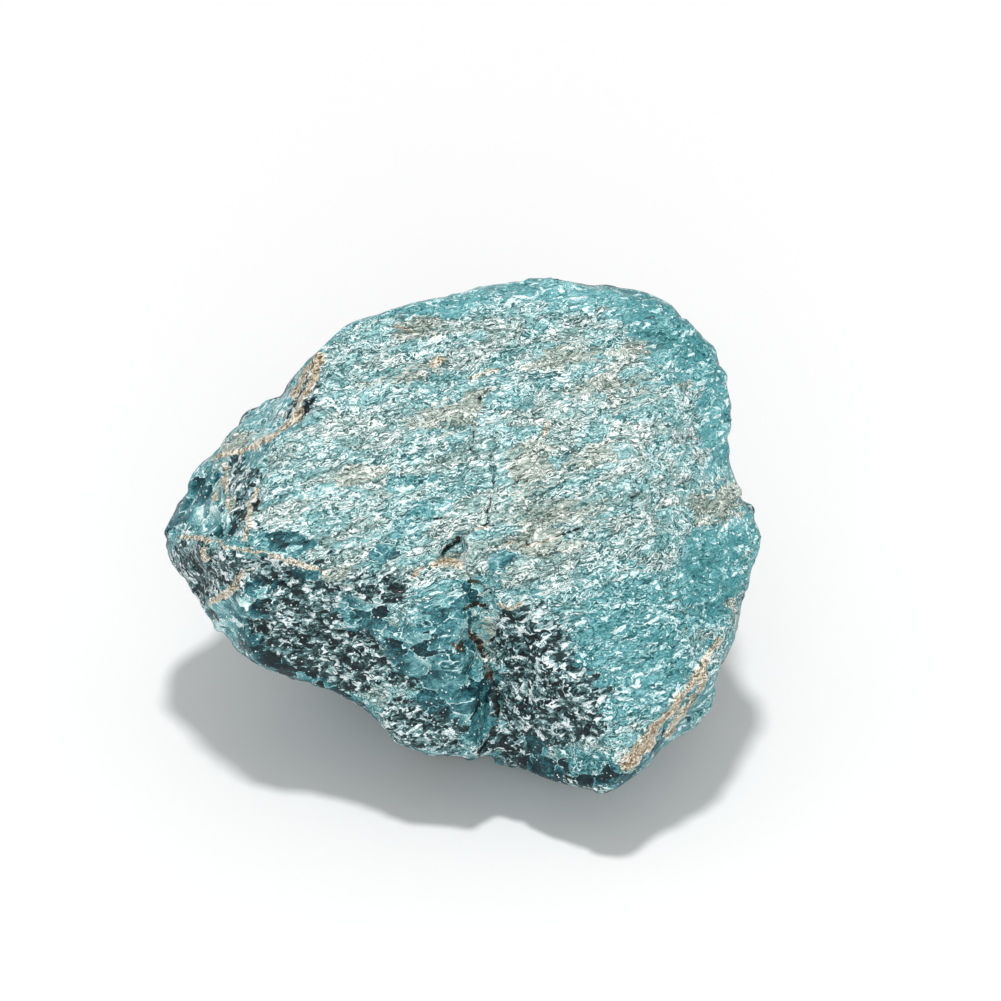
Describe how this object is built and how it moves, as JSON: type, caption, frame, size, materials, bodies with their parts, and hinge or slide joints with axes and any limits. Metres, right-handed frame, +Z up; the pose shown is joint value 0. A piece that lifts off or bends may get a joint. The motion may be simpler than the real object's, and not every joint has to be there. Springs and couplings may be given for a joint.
{
  "type": "rough blue apatite",
  "caption": "Palm-sized rough lump of blue apatite, with a broad streaky face that leans up from a small flat spot and dark broken faces across its layers.",
  "frame": {"origin": "under the middle of the stone's box, at the level of the flat spot that it rests on", "axes": "+X along the stone to its right end as the broad face is looked at, -Y towards the viewer that the broad face leans up to, +Z up"},
  "size_m": [0.0606, 0.0456, 0.0447],
  "materials": {
    "apatite": "Rough broken apatite: teal blue with pale aqua streaks and white flecks along its layers, dark slate on the faces across them, tan and orange iron stain in cracks and along one edge. Glassy lustre on fresh chips, duller between."
  },
  "bodies": {
    "root": {"stone": "apatite"}
  },
  "joints": []
}
